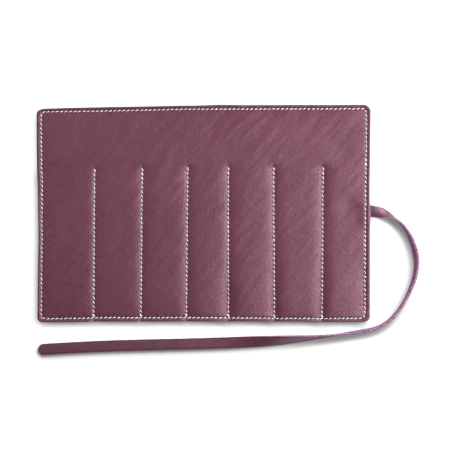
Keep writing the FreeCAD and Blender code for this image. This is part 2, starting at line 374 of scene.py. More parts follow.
def waxed_thread(name):
    """White waxed thread, with the turns of its plies as fine slanted ridges."""
    nodes = Nodes(name)
    wave = nodes.add(
        "ShaderNodeTexWave",
        {"Vector": nodes.place(1.0), "Scale": 1.4, "Distortion": 2.0, "Detail": 1.0},
        bands_direction="DIAGONAL",
    )
    plies = wave.outputs["Fac"]
    colour = nodes.mixed(plies, THREAD_DARK, THREAD_LIGHT)
    normal = nodes.relief(plies, PLY_DEPTH)
    return nodes.finish(colour, 0.5, normal, Sheen_Weight=0.15)


COVER_LEATHER = grain_leather("cover_leather", PLUM, PLUM_DEEP)
POCKET_LEATHER = grain_leather("pocket_leather", shade(PLUM, 0.96), shade(PLUM_DEEP, 0.96))
STRAP_LEATHER = grain_leather("strap_leather", shade(PLUM, 0.73), shade(PLUM_DEEP, 0.76), 1.15)
EDGE_LEATHER = raw_leather("edge_leather", LILAC, LILAC_DARK, 0.45)
FLESH_LEATHER = raw_leather("flesh_leather", POCKET_FLESH, POCKET_FLESH_DARK, 0.6)
STRAP_CUT = cut_strap("strap_cut")
LINING_SUEDE = raw_leather("lining_suede", SUEDE, SUEDE_DARK, 0.9)
THREAD = waxed_thread("waxed_thread")

# ---- tie strap ----

# The strap's route, as in the CAD, and its tilt, close to the CAD's: metres, then length in
# mm and degrees.
STRAP_ROUTE = [
    (0.158, 0.0026, 0.007), (0.173, 0.0007, 0.0064), (0.188, -0.008, 0.0056),
    (0.1985, -0.024, 0.0055), (0.204, -0.046, 0.0055), (0.200, -0.067, 0.0055),
    (0.186, -0.094, 0.0055), (0.169, -0.109, 0.0055), (0.140, -0.114, 0.0053),
    (0.108, -0.118, 0.0044), (0.072, -0.121, 0.0024), (0.032, -0.123, 0.0011),
    (-0.012, -0.1245, 0.001), (-0.060, -0.1255, 0.001), (-0.110, -0.127, 0.001),
    (-0.158, -0.130, 0.001),
]
STRAP_TILT = [
    (0, 0), (30, 92), (40, 99), (52, 108), (66, 113), (88, 105), (112, 97), (165, 97),
    (305, 0),
]
STRAP_THICKNESS = 2.0
SKIVED = 0.75
SKIVE_LENGTH = 7.0
STATION_SPACING = 0.9
TIP_STATIONS = 14
TANGENT_REACH = 1.5
STRAP_CLEARANCE = 0.25
END_RADIUS = 4.8
END_CHAMFER = 3.0
CHAMFERED_WIDTH = 2.0
# How rough the strap is: where it is cut or flesh, and on its grain side.
RAW_FRAY = 0.22
GRAIN_FRAY = 0.015


def strap_line():
    """Points of the smooth curve that has the route's points as control points."""
    curve = bpy.data.curves.new("strap_line", "CURVE")
    curve.dimensions = "3D"
    spline = curve.splines.new("NURBS")
    spline.points.add(len(STRAP_ROUTE) - 1)
    for point, place in zip(spline.points, STRAP_ROUTE):
        point.co = (*place, 1)
    spline.order_u = 3
    spline.use_endpoint_u = True
    spline.resolution_u = 24
    holder = add_object("strap_line", curve)
    line = bpy.data.meshes.new_from_object(holder)
    points = np.array([vertex.co for vertex in line.vertices]) / MM
    bpy.data.objects.remove(holder)
    return points


def strap_tilt(along):
    """Tilt of the strap's width above level, in radians, eased between the list's entries."""
    degrees = np.zeros(len(along))
    for (begin, tilt), (end, next_tilt) in zip(STRAP_TILT, STRAP_TILT[1:]):
        inside = (along >= begin) & (along < end)
        eased = tilt + (next_tilt - tilt) * ease(along, begin, end)
        degrees[inside] = eased[inside]
    return np.radians(degrees)


def strap_profile():
    """Points round the strap's section, and how many are on half its grain side: each one's
    side, distance in from that edge in mm, and level as a share of half the thickness."""
    grain = []
    crease = 1.0
    for inset in (0.12, 0.35, 0.7, crease, 1.3, 2.0, 3.2, 4.4):
        groove = 0.30 * math.exp(-((inset - crease) / 0.28) ** 2)
        shoulder = 0.45 * math.exp(-inset / 0.22)
        grain.append((inset, 1.0 - groove - shoulder))
    side = [(0.0, 0.35), (-0.04, 0.0), (0.0, -0.4)]
    flesh = [(0.1, -0.85), (0.5, -1.0), (1.2, -1.0), (2.2, -1.0), (3.4, -1.0)]
    half = grain[::-1] + side + flesh
    right = [(1, inset, level) for inset, level in half]
    left = [(-1, inset, level) for inset, level in half[::-1]]
    return right + left, len(grain)


def strap_stations():
    """Lengths along the strap, from its root and from its tip, at which its section is drawn.
    At each: its middle, which way its width and its grain side point, half its thickness."""
    line = strap_line()
    steps = np.linalg.norm(np.diff(line, axis=0), axis=1)
    reached = np.concatenate([[0], np.cumsum(steps)])
    total = reached[-1]

    def line_at(lengths):
        return np.stack([np.interp(lengths, reached, line[:, axis]) for axis in range(3)], axis=1)

    body = np.arange(0, total - END_RADIUS, STATION_SPACING)
    tip = total - END_RADIUS * (1 - np.sin(np.linspace(0, math.pi / 2, TIP_STATIONS)))
    along = np.concatenate([body, tip])
    centre = line_at(along)
    tangent = line_at(along + TANGENT_REACH) - line_at(along - TANGENT_REACH)
    tangent[0] = (1, 0, 0)
    tangent /= np.linalg.norm(tangent, axis=1)[:, None]
    up = np.array([0.0, 0.0, 1.0])
    right = np.cross(tangent, up)
    right /= np.linalg.norm(right, axis=1)[:, None]
    tilt = strap_tilt(along)[:, None]
    across = right * np.cos(tilt) + up * np.sin(tilt)
    outward = up * np.cos(tilt) - right * np.sin(tilt)
    half_thick = (SKIVED + (STRAP_THICKNESS - SKIVED) * ease(along, 0, SKIVE_LENGTH)) / 2
    reach = HALF_STRAP * np.abs(across[:, 2]) + half_thick * np.abs(outward[:, 2])
    centre[:, 2] += np.maximum(0, reach + STRAP_CLEARANCE - centre[:, 2])
    return along, total - along, centre, across, outward, half_thick


def strap_half_widths(left_over):
    """Half the strap's width at some lengths from its tip, which is round on side 1 and has
    its corner cut off on side -1."""
    round_share = np.clip(left_over / END_RADIUS, 0, 1)
    rounded = HALF_STRAP * np.sqrt(np.clip(1 - (1 - round_share) ** 2, 0, 1))
    widening = (HALF_STRAP - CHAMFERED_WIDTH) / END_CHAMFER
    chamfered = np.minimum(HALF_STRAP, CHAMFERED_WIDTH + left_over * widening)
    return {1: rounded, -1: chamfered}


def make_strap():
    along, left_over, centre, across, outward, half_thick = strap_stations()
    widths = strap_half_widths(left_over)
    profile, grain = strap_profile()
    points = []
    for number, (sign, inset, level) in enumerate(profile):
        width = sign * (HALF_STRAP - inset) * (widths[sign] / HALF_STRAP)
        frayed = RAW_FRAY if inset <= 0.1 or level < -0.5 else GRAIN_FRAY
        fray = frayed * smooth_noise(along, np.full(len(along), number * 1.7), 1.6, SEED + 3)
        sideways = (width + sign * fray)[:, None]
        upward = (level * half_thick + 0.4 * fray)[:, None]
        points.append(centre + across * sideways + outward * upward)
    points = np.stack(points, axis=1)
    stations, ring = points.shape[:2]
    index = np.arange(stations * ring).reshape(stations, ring)
    beside = np.roll(index, -1, axis=1)
    corners = [index[:-1], beside[:-1], beside[1:], index[1:]]
    faces = np.stack(corners, axis=-1).reshape(-1, 4)
    column = np.tile(np.arange(ring), stations - 1)
    mirrored = np.where(column < ring // 2, column, ring - 2 - column)
    cut = mirrored >= grain - 1

    flat = points.reshape(-1, 3)
    caps = []
    for station, order in ((0, 1), (stations - 1, -1)):
        middle = len(flat)
        flat = np.vstack([flat, points[station].mean(axis=0)])
        loop = index[station][::order]
        for first, second in zip(loop, np.roll(loop, -1)):
            caps.append((middle, second, first))
    kinds = np.concatenate([cut, np.ones(len(caps))])
    piece = new_mesh(
        "tie_strap_skin", flat, faces.tolist() + caps, [STRAP_LEATHER, STRAP_CUT], kinds
    )
    shares = [math.exp(-(max(inset - 0.6, 0) / 1.4) ** 2) for _, inset, _ in profile]
    all_shares = np.concatenate([np.tile(shares, stations), np.ones(2)])
    set_values(piece.data, "cut_edge", "FLOAT", "POINT", all_shares.astype(np.float32))
    # Painted shade on the strap beside the case, fading along it.
    root = 0.75 * np.exp(-along / 0.9) + 0.45 * np.exp(-along / 7)
    painted_shade_and_rim = np.clip(np.concatenate([np.repeat(root, ring), np.ones(2)]), 0, 1)
    set_values(piece.data, "painted_shade_and_rim", "FLOAT", "POINT", painted_shade_and_rim.astype(np.float32))
    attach(piece, "bay_7")
    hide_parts("tie_strap")


make_strap()

# ---- where the leather lies ----

CORNER = 7.5
EDGE_INSET = 3.5
SEAM_BEND = CORNER - EDGE_INSET
# The corners were rounded by hand: lower left, lower right, upper left, upper right.
CORNER_RADII = ((4.8, 5.0), (6.0, 6.0))
# Each divider seam's lean: how far its bottom and its top stand from the fold, in mm.
SEAM_LEAN = [(-1.0, -0.2), (-1.0, 0.3), (-0.7, 0.5), (-0.6, -0.7), (-0.6, -1.5), (-1.3, -0.3)]
# How each divider seam pulls the cover down, in mm: depth and reach to its left along the
# whole seam, then a further depth in its lower half and the reach of that to its left.
SEAM_DIP = [
    (0.75, 3.1, 0.0, 10.0), (0.95, 3.5, 0.0, 10.0), (1.05, 3.7, 0.2, 8.0),
    (1.25, 3.9, 1.6, 12.0), (1.35, 4.1, 1.8, 13.0), (1.40, 4.2, 1.2, 7.5),
]
DIP_RIGHT = 4.6
LOW_DIP_RIGHT = 4.0
DIP_ROUNDING = 0.7
# How far the sides run out of true, outward in mm: place, at the seam and at the cut edge.
TOP_SHIFT = [
    (-158, -1.4, -2.2), (-131, -1.1, -1.15), (-98, -0.9, -0.55), (-56, 0.05, 0.15),
    (-8, 1.0, 1.1), (16, 1.05, 1.85), (40, 1.05, 1.45), (87, 1.1, 1.55), (158, 1.4, 1.85),
]
BOTTOM_SHIFT = [
    (-158, -1.7, -1.6), (-131, -1.55, -1.4), (-98, -0.7, -0.9), (-50, -0.9, -1.0),
    (-8, -0.6, -0.75), (40, -1.05, -0.75), (87, -1.65, -1.0), (158, -1.3, -1.25),
]
LEFT_SHIFT = [
    (-102, -0.3, -0.7), (-60, -0.1, -0.3), (-16, 0.2, 0.4), (27, 0.45, -0.4),
    (45, -0.1, -1.25), (60, -0.15, -1.4), (102, -0.5, -1.5),
]
RIGHT_SHIFT = [
    (-102, -1.0, 0.3), (-60, -0.95, 0.2), (-25, -0.85, 0.2), (0, -0.3, 0.0),
    (27, -0.25, -0.1), (60, 0.4, 0.45), (102, 0.8, 1.1),
]
COVER_THICK = 1.35
LINING_THICK = 0.65
POCKET_THICK = 1.2
LAYER_GAP = 0.03
FLOOR_CLEARANCE = 0.15
# The cover's other relief: heights and depths in mm, each with its reach or width.
COVER_DROP = 0.15
EDGE_PULL = 1.15
EDGE_PULL_REACH = 8.5
GROOVE = 0.30
GROOVE_WIDTH = 1.1
DIVIDER_GROOVE = 0.22
DIVIDER_GROOVE_WIDTH = 0.9
MARGIN_LIFT = 0.45
ROUNDED_EDGE = 0.45
ROUNDED_EDGE_REACH = 0.30
ROOT_LIFT = 1.1
RIGHT_LIFT = 0.9
RIGHT_LIFT_REACH = 8.5
RIGHT_DROP = 1.5
RIGHT_DROP_REACH = 13
# Slow waves: height and size.
WAVES = [(0.16, 44), (0.07, 19)]
# Hollows and one swelling: the middle's x and y, half width, half length and height.
HOLLOWS = [
    (132, 58, 12, 10, -0.60), (137, 8, 9, 9, -0.45), (132, -86, 12, 10, -0.30),
    (92, -80, 9, 14, -0.25), (72, -84, 4, 13, 0.45),
]
# Soft straight creases: start, end, half width and height.
CREASES = [((18, 72), (58, 104), 2.6, 0.14), ((30, 66), (64, 96), 2.2, 0.10)]
# The room in a pocket: its most, and how far the edge and divider seams close it.
POCKET_ROOM = 5.3
POCKET_EDGE_REACH = 7.5
POCKET_SEAM_REACH = 4.8
POCKET_SOFTNESS = 0.5


def side_shift(place, beyond_seam, table):
    """A side's shift at a place along it; beyond_seam is 0 at the seam and 1 at the edge."""
    places, at_seam, at_edge = zip(*table)
    seam = np.interp(place, places, at_seam)
    return seam + (np.interp(place, places, at_edge) - seam) * np.clip(beyond_seam, 0, 1)


def settle(x, y):
    """Where a point of the case's exact rectangle really lies."""
    above = (y - TOP) / EDGE_INSET + 1
    below = (BOTTOM - y) / EDGE_INSET + 1
    left = (LEFT - x) / EDGE_INSET + 1
    right = (x - RIGHT) / EDGE_INSET + 1
    upward = side_shift(x, above, TOP_SHIFT) * ease(y, BOTTOM + 10, TOP - 5)
    upward = upward + side_shift(x, below, BOTTOM_SHIFT) * (1 - ease(y, BOTTOM + 5, TOP - 30))
    rightward = side_shift(y, left, LEFT_SHIFT) * (1 - ease(x, LEFT + 5, LEFT + 45))
    rightward = rightward + side_shift(y, right, RIGHT_SHIFT) * ease(x, RIGHT - 45, RIGHT - 5)
    sway = 0.10 * smooth_noise(y, 0 * y + 20, 26, SEED + 7)
    return x + rightward + sway, y + upward + 0.10 * smooth_noise(x, 0 * x, 30, SEED + 5)


def corner_radius(x, y):
    lower, upper = (np.where(x < 0, left, right) for left, right in CORNER_RADII)
    return np.where(y < 0, lower, upper)


def inside_distance(x, y, inset, radius):
    """How far a point lies inside a rounded rectangle that is inset from the case's."""
    out_x = np.abs(x - (LEFT + RIGHT) / 2) - ((RIGHT - LEFT) / 2 - inset - radius)
    out_y = np.abs(y - (BOTTOM + TOP) / 2) - ((TOP - BOTTOM) / 2 - inset - radius)
    outside = np.hypot(np.maximum(out_x, 0), np.maximum(out_y, 0))
    return radius - outside - np.minimum(np.maximum(out_x, out_y), 0)


def edge_distance(x, y):
    """How far in from the case's outline."""
    return inside_distance(x, y, 0, corner_radius(x, y))


def edge_seam_distance(x, y):
    """How far in from the edge seam; negative in the margin outside it."""
    return inside_distance(x, y, EDGE_INSET, SEAM_BEND)


def seam_pull(x, y, reach):
    """1 at the edge seam, fading towards the middle over a reach."""
    from_sides = np.maximum((RIGHT - LEFT) / 2 - EDGE_INSET - np.abs(x), 0)
    from_ends = np.maximum((TOP - BOTTOM) / 2 - EDGE_INSET - np.abs(y), 0)
    return 1 - (1 - np.exp(-from_sides / reach)) * (1 - np.exp(-from_ends / reach))


def seam_x(number, y):
    low, high = SEAM_LEAN[number]
    return FOLDS[number] + low + (high - low) * (y - BOTTOM) / (MOUTH - BOTTOM)


def crease(x, y, start, end, width, height):
    """A soft straight crease in the cover."""
    start = np.array(start, float)
    end = np.array(end, float)
    run = end - start
    length = np.hypot(*run)
    along = ((x - start[0]) * run[0] + (y - start[1]) * run[1]) / length
    aside = ((y - start[1]) * run[0] - (x - start[0]) * run[1]) / length
    ends = ease(along, 0, length / 3) * (1 - ease(along, 2 * length / 3, length))
    return height * bump(aside, width) * ends


def at_root(y):
    """1 beside the strap's root, 0 away from it."""
    return ease(y, STRAP_ROOT - 22, STRAP_ROOT - 6) * (1 - ease(y, STRAP_ROOT + 4, STRAP_ROOT + 9))


def cover_top(x, y):
    """Height of the cover's outer face over the surface that the case lies on."""
    inside = edge_seam_distance(x, y)
    height = COVER_TOP - COVER_DROP - EDGE_PULL * seam_pull(x, y, EDGE_PULL_REACH)
    height -= GROOVE * bump(inside, GROOVE_WIDTH)
    height += MARGIN_LIFT * np.clip(-inside, 0, EDGE_INSET) / EDGE_INSET
    height -= ROUNDED_EDGE * np.exp(-edge_distance(x, y) / ROUNDED_EDGE_REACH)
    under_seams = 1 - ease(y, MOUTH - 4, MOUTH + 7)
    low_half = (1 - ease(y, BOTTOM + 18, -22)) * (0.25 + 0.75 * ease(y, BOTTOM, BOTTOM + 12))
    for number, (depth, reach, low_depth, low_reach) in enumerate(SEAM_DIP):
        aside = x - seam_x(number, np.minimum(y, MOUTH))
        rounding = np.sqrt(aside**2 + DIP_ROUNDING**2) - DIP_ROUNDING
        to_the_right = aside > 0
        dip = depth * np.exp(-rounding / np.where(to_the_right, DIP_RIGHT, reach))
        low_dip = low_depth * np.exp(-rounding / np.where(to_the_right, LOW_DIP_RIGHT, low_reach))
        height -= (dip + low_dip * low_half) * under_seams
        groove = DIVIDER_GROOVE * bump(aside, DIVIDER_GROOVE_WIDTH)
        height -= groove * (1 - ease(y, MOUTH - 1, MOUTH + 3))
    for number, (tall, size) in enumerate(WAVES):
        height += tall * smooth_noise(x, y, size, SEED + number)
    height += ROOT_LIFT * at_root(y) * ease(x, RIGHT - 14, RIGHT - 1)
    from_right = np.maximum(RIGHT - EDGE_INSET - x, 0)
    lifted = ease(y, -60, -30) * (1 - ease(y, 72, 94))
    height += RIGHT_LIFT * np.exp(-from_right / RIGHT_LIFT_REACH) * lifted
    height -= RIGHT_DROP * np.exp(-from_right / RIGHT_DROP_REACH) * low_half
    for middle_x, middle_y, wide, tall, rise in HOLLOWS:
        height += rise * bump(x - middle_x, wide) * bump(y - middle_y, tall)
    for start, end, width, rise in CREASES:
        height += crease(x, y, start, end, width, rise)
    return height


def puckers(x, y):
    """Ripples that the stitches pull up: in the margin outside the edge seam, and inside it
    near the case's bottom."""
    inside = edge_seam_distance(x, y)
    margin = bump(inside + EDGE_INSET * 0.45, 2.2)
    level = np.minimum(TOP - y, y - BOTTOM) < 9
    run = np.where(level, x, y)
    ripple = np.cos(2 * math.pi * run / STITCH_PITCH + 0.6)
    within = bump(inside - 2.2, 2.0) * (1 - ease(y, BOTTOM + 20, BOTTOM + 40))
    height = margin * (0.05 * ripple + 0.12 * smooth_noise(run, 0 * run + 7, 5.5, SEED + 8))
    return height + within * 0.16 * smooth_noise(run, 0 * run + 3, 2.9, SEED + 9)


def pocket_gap(x, y):
    """Room between the lining and the pocket leather: none at a seam, most in mid-bay."""
    gap = POCKET_ROOM * (1 - seam_pull(x, y, POCKET_EDGE_REACH))
    for number in range(len(FOLDS)):
        aside = np.abs(x - seam_x(number, np.minimum(y, MOUTH)))
        gap = gap * (1 - np.exp(-np.maximum(aside - 0.6, 0) / POCKET_SEAM_REACH))
    return gap * (1 + 0.06 * smooth_noise(x, y, 30, SEED + 9))


def lining_top(x, y):
    return cover_top(x, y) - COVER_THICK - LAYER_GAP


def lining_under(x, y):
    return lining_top(x, y) - LINING_THICK


def pocket_under(x, y):
    """Height of the pocket leather's outer face, which rests on the surface in mid-bay."""
    free = lining_under(x, y) - LAYER_GAP - POCKET_THICK - pocket_gap(x, y)
    wrinkle = 0.10 * smooth_noise(x, y, 13, SEED + 10)
    above = np.clip((free + wrinkle - FLOOR_CLEARANCE) / POCKET_SOFTNESS, -40, 40)
    return FLOOR_CLEARANCE + POCKET_SOFTNESS * np.log1p(np.exp(above))


def pocket_top(x, y):
    return pocket_under(x, y) + POCKET_THICK


# ---- stitches ----

STITCH_PITCH = 4.2
STITCH_REACH = 1.86
STITCH_HALF_WIDTH = 0.445
STITCH_HALF_HEIGHT = 0.36
STITCH_SLANT = math.radians(17)
STITCH_RINGS = 9
STITCH_SIDES = 8
STITCH_LIFT = 0.14
STITCH_DIVE = 0.42
SLIT_WIDTH = 0.48
SLIT_LENGTH = 0.95
SLIT_DEPTH = 0.50
SLIT_SLANT = math.radians(12)
# How thick the edge seam's thread is on each side, as a share of its usual width.
BOTTOM_THREAD = 1.2
TOP_THREAD = 1.05
SIDE_THREAD = 0.92


def edge_path(along):
    """The edge seam's path, anticlockwise from the left end of its bottom side: points and
    direction at some lengths along it."""
    bend = SEAM_BEND
    half_x = (RIGHT - LEFT) / 2 - CORNER
    half_y = (TOP - BOTTOM) / 2 - CORNER
    turn = bend * math.pi / 2
    along = np.mod(along, edge_length())
    x = np.zeros_like(along)
    y = np.zeros_like(along)
    direction = np.zeros_like(along)
    start = 0.0
    corner = np.array([half_x, -half_y])
    heading = 0.0
    for side_length in (2 * half_x, 2 * half_y, 2 * half_x, 2 * half_y):
        ahead = np.array([math.cos(heading), math.sin(heading)])
        outward = np.array([math.sin(heading), -math.cos(heading)])
        run = along - start
        straight = (run >= 0) & (run < side_length)
        base = corner - ahead * side_length + outward * bend
        x = np.where(straight, base[0] + ahead[0] * run, x)
        y = np.where(straight, base[1] + ahead[1] * run, y)
        direction = np.where(straight, heading, direction)
        angle = (run - side_length) / bend
        curved = (run >= side_length) & (run < side_length + turn)
        x = np.where(curved, corner[0] + bend * np.sin(heading + angle), x)
        y = np.where(curved, corner[1] - bend * np.cos(heading + angle), y)
        direction = np.where(curved, heading + angle, direction)
        start += side_length + turn
        heading += math.pi / 2
        corner = np.array([-corner[1] * half_x / half_y, corner[0] * half_y / half_x])
    return x, y, direction


def edge_length():
    straight = 2 * (RIGHT - LEFT) + 2 * (TOP - BOTTOM) - 8 * CORNER
    return straight + 2 * math.pi * SEAM_BEND


def divider_path(number):
    """A divider seam's path, from the edge seam up to just past the pockets' mouth."""
    low = BOTTOM + EDGE_INSET

    def path(along):
        y = low + np.asarray(along, float)
        return seam_x(number, y), y, np.full_like(y, math.pi / 2)

    return path


def edge_stitches():
    """Each stitch's place along the seam, how far aside it lies and how thick it is. The
    sewer overlapped the seam's end and start just above the pockets' mouth."""
    length = edge_length()
    count = round(length / STITCH_PITCH)
    middles = (np.arange(count) + 0.5) * length / count
    y = edge_path(middles)[1]
    thickness = np.full(count, SIDE_THREAD)
    thickness[y > TOP - EDGE_INSET - 1] = TOP_THREAD
    thickness[y < BOTTOM + EDGE_INSET + 1] = BOTTOM_THREAD
    stitches = [(along, 0.0, wide) for along, wide in zip(middles, thickness)]
    overlap = RIGHT - LEFT - 2 * CORNER + SEAM_BEND * math.pi / 2
    overlap += (MOUTH + 4.5) - (BOTTOM + CORNER)
    stitches.append((overlap - 2.1, 0.35, 1.15))
    stitches.append((overlap + 2.1, 0.30, 1.15))
    return stitches


def divider_stitches():
    """The same for a divider seam, whose first and last stitches are sewn over twice."""
    length = MOUTH + 0.5 - (BOTTOM + EDGE_INSET)
    count = round(length / STITCH_PITCH)
    pitch = length / count
    stitches = [((step + 0.5) * pitch, 0.0, 1.0) for step in range(1, count - 2)]
    top = [((count - 1.5) * pitch, 0.05, 1.3), ((count - 0.5) * pitch, -0.15, 1.3)]
    bottom = [(0.55 * pitch, 0.35, 1.15), (0.50 * pitch, -0.35, 1.15)]
    return stitches + top + bottom


def seam_slits(path, stitches):
    """Where the thread passes through the leather: between one stitch and the next."""
    ends = np.array([along - STITCH_PITCH / 2 for along, _, _ in stitches])
    return np.stack(path(ends), axis=1)


SLITS = np.concatenate(
    [seam_slits(edge_path, edge_stitches())]
    + [seam_slits(divider_path(number), divider_stitches()) for number in range(len(FOLDS))]
)


def slit_map(columns, rows):
    """How close each point of a grid is to a slit, from 0, far, to 1, in it."""
    result = np.zeros((len(columns), len(rows)))
    reach = 2.6
    for x, y, direction in SLITS:
        first_i, last_i = np.searchsorted(columns, (x - reach, x + reach))
        first_j, last_j = np.searchsorted(rows, (y - reach, y + reach))
        dx = columns[first_i:last_i, None] - x
        dy = rows[None, first_j:last_j] - y
        angle = direction - SLIT_SLANT
        ahead = dx * math.cos(angle) + dy * math.sin(angle)
        aside = dy * math.cos(angle) - dx * math.sin(angle)
        near = bump(ahead, SLIT_WIDTH) * bump(aside, SLIT_LENGTH)
        block = result[first_i:last_i, first_j:last_j]
        np.maximum(block, near, out=block)
    return result


def add_stitches(path, stitches, height, below, seed):
    """Stitches as one mesh: bent capsules whose ends dip into the leather."""
    random = np.random.default_rng(seed)
    turn = np.linspace(0, 2 * math.pi, STITCH_SIDES, endpoint=False)
    ring_at = np.sin(np.linspace(-math.pi / 2, math.pi / 2, STITCH_RINGS))
    fatness = np.clip(1 - np.abs(ring_at) ** 2.6, 0, 1) ** 0.6
    lift = STITCH_LIFT - STITCH_DIVE * np.abs(ring_at) ** 3 - 0.10 * np.maximum(ring_at, 0)
    points = []
    faces = []
    for along, aside, thickness in stitches:
        slant = STITCH_SLANT + random.uniform(-0.07, 0.07)
        reach = STITCH_REACH * random.uniform(0.95, 1.04)
        width = STITCH_HALF_WIDTH * thickness * random.uniform(0.92, 1.08)
        shift = aside + random.uniform(-0.10, 0.10)
        run = np.repeat(ring_at * reach, STITCH_SIDES)
        across = (width * fatness[:, None] * np.cos(turn)[None, :]).ravel()
        upward = (STITCH_HALF_HEIGHT * fatness[:, None] * np.sin(turn)[None, :]).ravel()
        upward += np.repeat(lift, STITCH_SIDES)
        forward = run * math.cos(slant) - across * math.sin(slant)
        sideways = run * math.sin(slant) + across * math.cos(slant) + shift
        x, y, direction = path(along + forward)
        place_x = x - sideways * np.sin(direction)
        place_y = y + sideways * np.cos(direction)
        base = height(place_x, place_y)
        base = 0.5 * base + 0.5 * base.mean()
        place_z = base - upward if below else base + upward
        settled_x, settled_y = settle(place_x, place_y)
        start = len(points) * STITCH_RINGS * STITCH_SIDES
        points.append(np.stack([settled_x, settled_y, place_z], axis=1))
        for ring in range(STITCH_RINGS - 1):
            for side in range(STITCH_SIDES):
                a = start + ring * STITCH_SIDES + side
                b = a - side + (side + 1) % STITCH_SIDES
                quad = (a, a + STITCH_SIDES, b + STITCH_SIDES, b)
                faces.append(quad[::-1] if below else quad)
    return np.concatenate(points), np.array(faces)


# ---- leather panels ----


def grid_lines(low, high, centres, fine, coarse, reach):
    """Increasing values from low to high, fine near the centres and coarse elsewhere."""
    values = [low]
    while values[-1] < high:
        nearest = min(abs(values[-1] - centre) for centre in centres)
        share = float(ease(nearest, reach, reach * 2.5))
        values.append(values[-1] + fine + (coarse - fine) * share)
    values[-1] = high
    if high - values[-2] < fine / 2:
        values.pop(-2)
    return np.array(values)


EDGE_STEPS = np.array([0.0, 0.06, 0.18, 0.40])
# Beside the strap's root the cut edge gapes: how far in, and by how much each face moves.
GAPE_REACH = 2.5
GAPE_UPPER = 0.3
GAPE_LOWER = 0.9


def with_edge_steps(values, at_low, at_high):
    """Adds lines close to an outer edge, where the leather's edge is rounded."""
    low = values[0] + EDGE_STEPS if at_low else values[:1]
    high = values[-1] - EDGE_STEPS[::-1] if at_high else values[-1:]
    middle = values[(values > low[-1] + 0.1) & (values < high[0] - 0.1)]
    return np.concatenate([low, middle, high])


def round_corners(x, y):
    """Draws the grid in at the case's four corners, so that its border is rounded."""
    half_x = (RIGHT - LEFT) / 2
    half_y = (TOP - BOTTOM) / 2
    radius = corner_radius(x, y)
    past = np.clip(np.abs(y) - (half_y - radius), 0, radius)
    limit = half_x - radius + np.sqrt(np.clip(radius**2 - past**2, 0, None))
    start = half_x - 2 * CORNER
    beyond = np.maximum(np.abs(x) - start, 0)
    drawn = start + beyond * (limit - start) / (half_x - start)
    return np.where(beyond > 0, np.sign(x) * drawn, x)


def panel(name, columns, rows, top, under, materials, dimples):
    """A closed sheet of leather over a grid. Stitches dimple its top where dimples is 1 and
    its underside where it is -1. The materials are for its outer face, cut edge and inner
    face; the outer face is the underside where dimples is -1."""
    grid_x, grid_y = np.meshgrid(columns, rows, indexing="ij")
    place_x = round_corners(grid_x, grid_y)
    slit = slit_map(columns, rows)
    upper = top(place_x, grid_y) - SLIT_DEPTH * slit * (dimples > 0)
    lower = under(place_x, grid_y) + SLIT_DEPTH * slit * (dimples < 0)
    settled_x, settled_y = settle(place_x, grid_y)
    gape = at_root(grid_y) * ease(place_x, RIGHT - GAPE_REACH, RIGHT) * (dimples >= 0)
    points = np.concatenate([
        grid_points(settled_x - GAPE_UPPER * gape, settled_y, upper),
        grid_points(settled_x + GAPE_LOWER * gape, settled_y, lower),
    ])
    face_up, face_down, walls, border = sheet_faces(grid_x.shape)
    upper_kind, lower_kind = (2, 0) if dimples < 0 else (0, 2)
    kinds = np.repeat([upper_kind, lower_kind, 1], [len(face_up), len(face_down), len(walls)])
    faces = np.concatenate([face_up, face_down, walls]).tolist()
    piece = new_mesh(name, points, faces, materials, kinds)
    mesh = piece.data
    # Painted shade: darker in the stitch slits and in the margin outside the edge seam. Also
    # darker within about half a millimetre of the outline.
    depth = np.clip(slit * 1.15, 0, 1)
    near_edge = 0.25 * np.exp(-edge_distance(place_x, grid_y) / 0.5)
    margin = 0.18 * ease(-edge_seam_distance(place_x, grid_y), -0.3, 0.8)
    shade_and_rim_share = np.maximum(depth, np.maximum(near_edge, margin)).ravel().astype(np.float32)
    set_values(mesh, "painted_shade_and_rim", "FLOAT", "POINT", np.concatenate([shade_and_rim_share, shade_and_rim_share]))
    ends = np.zeros(len(mesh.edges) * 2, np.int32)
    mesh.edges.foreach_get("vertices", ends)
    rim = np.concatenate([border, border + grid_x.size])
    on_rim = np.isin(ends.reshape(-1, 2), rim).all(axis=1)
    set_values(mesh, "sharp_edge", "BOOLEAN", "EDGE", on_rim)
    return piece


def middle_of_bay(number):
    return (BAY_EDGES[number - 1] + BAY_EDGES[number]) / 2


def section_ends(number):
    """A panel section reaches from mid-bay to mid-bay across one fold line."""
    start = LEFT if number == 1 else middle_of_bay(number)
    end = RIGHT if number == BAY_COUNT - 1 else middle_of_bay(number + 1)
    return start, end


# How far on each side of a seam or fold line the grid is fine, in mm.
FINE_REACH = 1.8


def across_fold(piece):
    """Bakes the piece's placement into its points."""
    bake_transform(piece)


def replaced_nodes(kind, number):
    """Each section stands for its left bay's node, and the last for both of its bays'."""
    nodes = [f"{kind}_{number}"]
    if number == BAY_COUNT - 1:
        nodes.append(f"{kind}_{BAY_COUNT}")
    return nodes


SEAM_LINES = [LEFT + EDGE_INSET, *FOLDS, RIGHT - EDGE_INSET]


def make_panel(kind, number, top_edge, top, under, materials, dimples, fine, coarse):
    start, end = section_ends(number)
    columns = grid_lines(start, end, SEAM_LINES, fine, coarse, FINE_REACH)
    columns = with_edge_steps(columns, number == 1, number == BAY_COUNT - 1)
    seam_rows = [BOTTOM + EDGE_INSET, TOP - EDGE_INSET]
    rows = grid_lines(BOTTOM, top_edge, seam_rows, fine, fine * 1.3, 3)
    rows = with_edge_steps(rows, True, top_edge == TOP)
    piece = panel(f"{kind}_{number}_skin", columns, rows, top, under, materials, dimples)
    across_fold(piece)
    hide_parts(*replaced_nodes(kind, number))


def rippled_cover(x, y):
    return cover_top(x, y) + puckers(x, y)


def cover_under(x, y):
    return cover_top(x, y) - COVER_THICK


COVER_MATERIALS = [COVER_LEATHER, EDGE_LEATHER, FLESH_LEATHER]
LINING_MATERIALS = [LINING_SUEDE] * 3
POCKET_MATERIALS = [POCKET_LEATHER, EDGE_LEATHER, FLESH_LEATHER]
